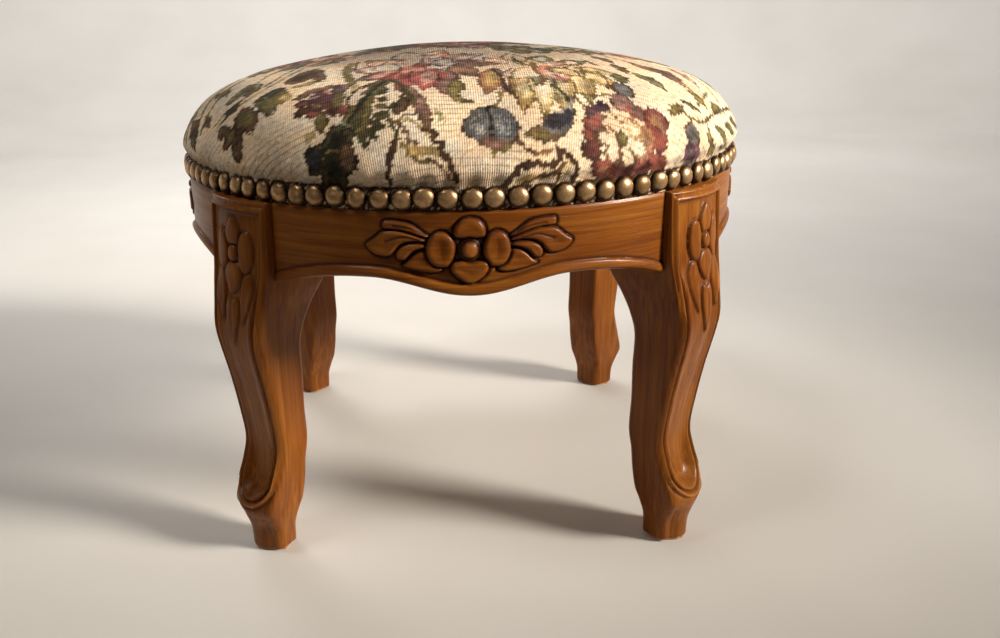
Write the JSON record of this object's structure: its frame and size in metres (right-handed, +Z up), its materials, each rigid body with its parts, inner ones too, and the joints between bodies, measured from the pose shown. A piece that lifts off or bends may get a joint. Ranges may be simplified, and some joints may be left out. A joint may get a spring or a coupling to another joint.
{
  "type": "upholstered footstool",
  "caption": "Low round footstool with carved cabriole legs, curved aprons, a domed floral tapestry seat and a row of dome nails; stands free and carries feet or a small seated load.",
  "frame": {"origin": "on the floor, under the middle of the round seat", "axes": "+Z up, the pictured front faces -Y, +X to the right of someone who looks at the front"},
  "size_m": [0.3334, 0.3334, 0.2715],
  "materials": {
    "stained_wood": "stained and lacquered hardwood, glossy, darker glaze in the carving",
    "bare_wood": "planed, unfinished",
    "dowel_wood": "smooth beech dowel, unfinished",
    "plywood": "sawn plywood, unfinished",
    "screw_steel": "zinc plated",
    "foam": "open-cell upholstery foam",
    "tapestry": "ribbed machine tapestry with a floral pattern",
    "antique_brass": "antiqued, polished high spots",
    "glide": "pale nylon"
  },
  "bodies": {
    "root": {"leg_front_left": "stained_wood", "glide_front_left": "glide", "corner_block_front_left": "bare_wood", "dowel_front_left_left_lower": "dowel_wood", "dowel_front_left_left_upper": "dowel_wood", "block_screw_front_left_left": "screw_steel", "dowel_front_left_right_lower": "dowel_wood", "dowel_front_left_right_upper": "dowel_wood", "block_screw_front_left_right": "screw_steel", "board_screw_front_left": "screw_steel", "leg_front_right": "stained_wood", "glide_front_right": "glide", "corner_block_front_right": "bare_wood", "dowel_front_right_left_lower": "dowel_wood", "dowel_front_right_left_upper": "dowel_wood", "block_screw_front_right_left": "screw_steel", "dowel_front_right_right_lower": "dowel_wood", "dowel_front_right_right_upper": "dowel_wood", "block_screw_front_right_right": "screw_steel", "board_screw_front_right": "screw_steel", "leg_back_right": "stained_wood", "glide_back_right": "glide", "corner_block_back_right": "bare_wood", "dowel_back_right_left_lower": "dowel_wood", "dowel_back_right_left_upper": "dowel_wood", "block_screw_back_right_left": "screw_steel", "dowel_back_right_right_lower": "dowel_wood", "dowel_back_right_right_upper": "dowel_wood", "block_screw_back_right_right": "screw_steel", "board_screw_back_right": "screw_steel", "leg_back_left": "stained_wood", "glide_back_left": "glide", "corner_block_back_left": "bare_wood", "dowel_back_left_left_lower": "dowel_wood", "dowel_back_left_left_upper": "dowel_wood", "block_screw_back_left_left": "screw_steel", "dowel_back_left_right_lower": "dowel_wood", "dowel_back_left_right_upper": "dowel_wood", "block_screw_back_left_right": "screw_steel", "board_screw_back_left": "screw_steel", "apron_front": "stained_wood", "apron_right": "stained_wood", "apron_back": "stained_wood", "apron_left": "stained_wood", "seat_board": "plywood", "seat_pad": "foam", "tapestry_cover": "tapestry", "nail_row": "antique_brass"}
  },
  "joints": []
}
